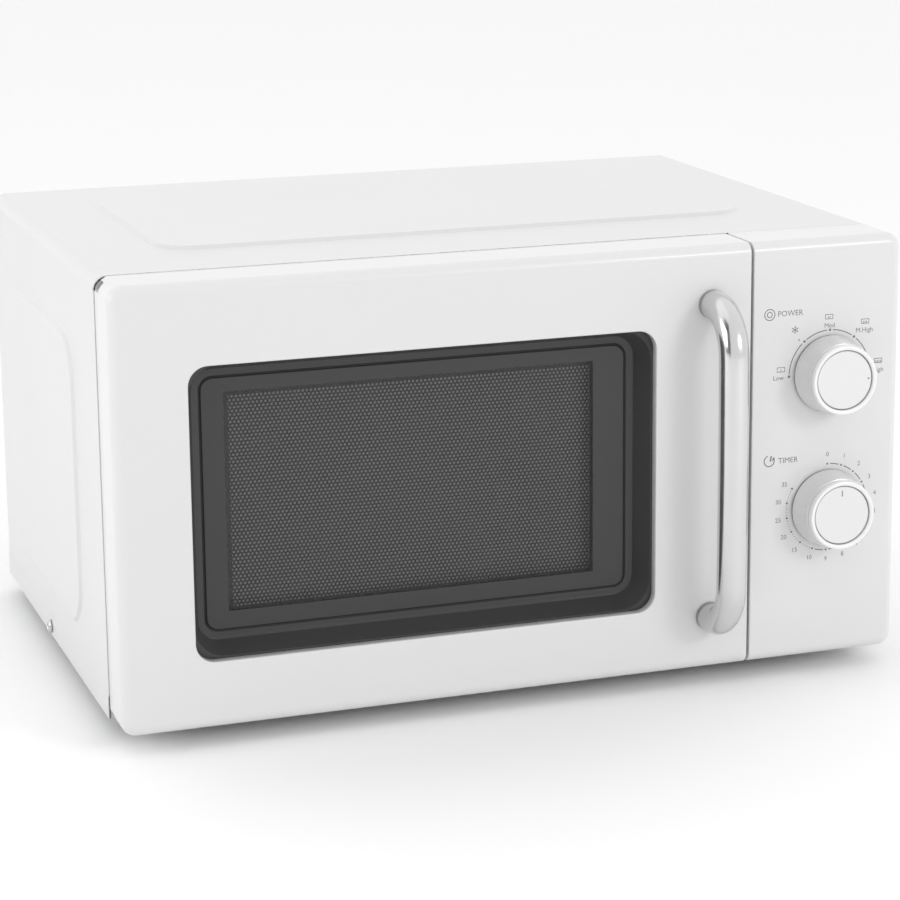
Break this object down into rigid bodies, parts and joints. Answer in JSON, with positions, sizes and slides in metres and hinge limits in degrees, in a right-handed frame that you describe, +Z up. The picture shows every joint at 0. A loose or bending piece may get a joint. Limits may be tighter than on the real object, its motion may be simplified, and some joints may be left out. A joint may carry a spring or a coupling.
{
  "type": "microwave oven",
  "caption": "White countertop microwave oven with a side-hinged windowed door, bent chrome handle, two rotary dials and a glass turntable.",
  "frame": {"origin": "on the floor under the feet, in the middle of the overall width and of the overall depth from the handle to the rear edge", "axes": "+X to the right seen from the front, +Y to the rear, the door faces -Y, +Z up"},
  "size_m": [0.4566, 0.3704, 0.253],
  "materials": {
    "white_steel": "white powder-coated sheet steel, fine satin",
    "white_plastic": "white moulded ABS, satin",
    "silver_plastic": "silver-white moulded knobs, soft gloss",
    "grey_plastic": "grey moulded plastic",
    "dark_plastic": "black moulded plastic",
    "smoked_screen": "smoked transparent polycarbonate",
    "dark_steel": "dark grey enamelled perforated steel",
    "clear_film": "clear film and glass",
    "zinc_steel": "zinc-plated sheet steel",
    "satin_chrome": "satin chrome-plated tube",
    "iron_core": "varnished laminated iron",
    "copper_wire": "enamelled copper windings",
    "fin_aluminium": "plain aluminium",
    "foot_rubber": "black rubber",
    "mica_sheet": "pressed mica board",
    "board_green": "green circuit board"
  },
  "bodies": {
    "cabinet": {"outer_cover": "white_steel", "back_panel": "zinc_steel", "base_plate": "zinc_steel", "front_plate": "white_steel", "cavity_shell": "white_steel", "hinge_lower": "zinc_steel", "hinge_upper": "zinc_steel", "cord_gland": "foot_rubber", "foot_front_left": "foot_rubber", "foot_rear_left": "foot_rubber", "foot_front_right": "foot_rubber", "foot_rear_right": "foot_rubber", "case_screw_left": "zinc_steel", "case_screw_right": "zinc_steel", "control_panel": "white_plastic", "timer_unit": "dark_plastic", "timer_bell": "zinc_steel", "power_selector": "dark_plastic", "interlock_housing": "grey_plastic", "primary_switch": "dark_plastic", "monitor_switch": "dark_plastic", "secondary_switch": "dark_plastic", "waveguide": "zinc_steel", "waveguide_cover": "mica_sheet", "magnetron_frame": "zinc_steel", "magnetron_core": "fin_aluminium", "magnetron_filter": "zinc_steel", "transformer_core": "iron_core", "primary_winding": "copper_wire", "secondary_winding": "copper_wire", "capacitor": "fin_aluminium", "high_voltage_diode": "dark_plastic", "fan_shroud": "grey_plastic", "fan_motor": "iron_core", "lamp_holder": "clear_film", "noise_filter": "board_green", "turntable_motor": "zinc_steel"},
    "door": {"door_frame": "white_plastic", "door_screen": "smoked_screen", "door_pan": "dark_steel", "door_film": "clear_film", "door_choke_cover": "grey_plastic", "door_handle": "satin_chrome", "hook_spring": "zinc_steel", "handle_screw_lower": "zinc_steel", "handle_screw_upper": "zinc_steel"},
    "door_hook": {"door_hook": "grey_plastic"},
    "power_knob": {"power_knob": "silver_plastic", "power_knob_cap": "silver_plastic", "power_shaft": "zinc_steel"},
    "timer_knob": {"timer_knob": "silver_plastic", "timer_knob_cap": "silver_plastic", "timer_shaft": "zinc_steel"},
    "turntable": {"turntable_coupler": "grey_plastic", "glass_tray": "clear_film"},
    "roller_ring": {"roller_ring": "grey_plastic"},
    "roller_wheel_1": {"roller_wheel_1": "grey_plastic"},
    "roller_wheel_2": {"roller_wheel_2": "grey_plastic"},
    "roller_wheel_3": {"roller_wheel_3": "grey_plastic"},
    "fan": {"fan_blade": "grey_plastic"}
  },
  "joints": [
    {"name": "door_hinge", "type": "hinge", "parent": "cabinet", "child": "door", "pos_m": [-0.218, -0.12475, 0.132], "axis": [0, 0, -1], "range_deg": [0, 105]},
    {"name": "hook_slide", "type": "slide", "parent": "door", "child": "door_hook", "axis": [0, 0, 1], "range_m": [0, 0.004], "stiffness_N_per_m": 300, "springref_m": -0.002},
    {"name": "power_turn", "type": "hinge", "parent": "cabinet", "child": "power_knob", "pos_m": [0.182, -0.15675, 0.176], "axis": [0, -1, 0], "range_deg": [0, 180]},
    {"name": "timer_turn", "type": "hinge", "parent": "cabinet", "child": "timer_knob", "pos_m": [0.182, -0.15675, 0.0984], "axis": [0, 1, 0], "range_deg": [0, 300]},
    {"name": "turntable_turn", "type": "hinge", "parent": "cabinet", "child": "turntable", "pos_m": [-0.051, 0.03375, 0.045], "axis": [0, 0, 1], "continuous": true},
    {"name": "ring_turn", "type": "hinge", "parent": "cabinet", "child": "roller_ring", "pos_m": [-0.051, 0.03375, 0.0383], "axis": [0, 0, 1], "continuous": true},
    {"name": "fan_turn", "type": "hinge", "parent": "cabinet", "child": "fan", "pos_m": [0.167, 0.15195, 0.175], "axis": [0, 1, 0], "continuous": true},
    {"name": "wheel_1_roll", "type": "hinge", "parent": "roller_ring", "child": "roller_wheel_1", "pos_m": [0.0497, 0.03375, 0.0383], "axis": [-1, 0, 0], "continuous": true},
    {"name": "wheel_2_roll", "type": "hinge", "parent": "roller_ring", "child": "roller_wheel_2", "pos_m": [-0.10135, 0.12096, 0.0383], "axis": [0.5, -0.866, 0], "continuous": true},
    {"name": "wheel_3_roll", "type": "hinge", "parent": "roller_ring", "child": "roller_wheel_3", "pos_m": [-0.10135, -0.05346, 0.0383], "axis": [0.5, 0.866, 0], "continuous": true}
  ],
  "couplings": [
    {"joint": "ring_turn", "follows": "turntable_turn", "ratio": 0.5},
    {"joint": "wheel_1_roll", "follows": "turntable_turn", "ratio": 7.7462},
    {"joint": "wheel_2_roll", "follows": "turntable_turn", "ratio": 7.7462},
    {"joint": "wheel_3_roll", "follows": "turntable_turn", "ratio": 7.7462}
  ]
}
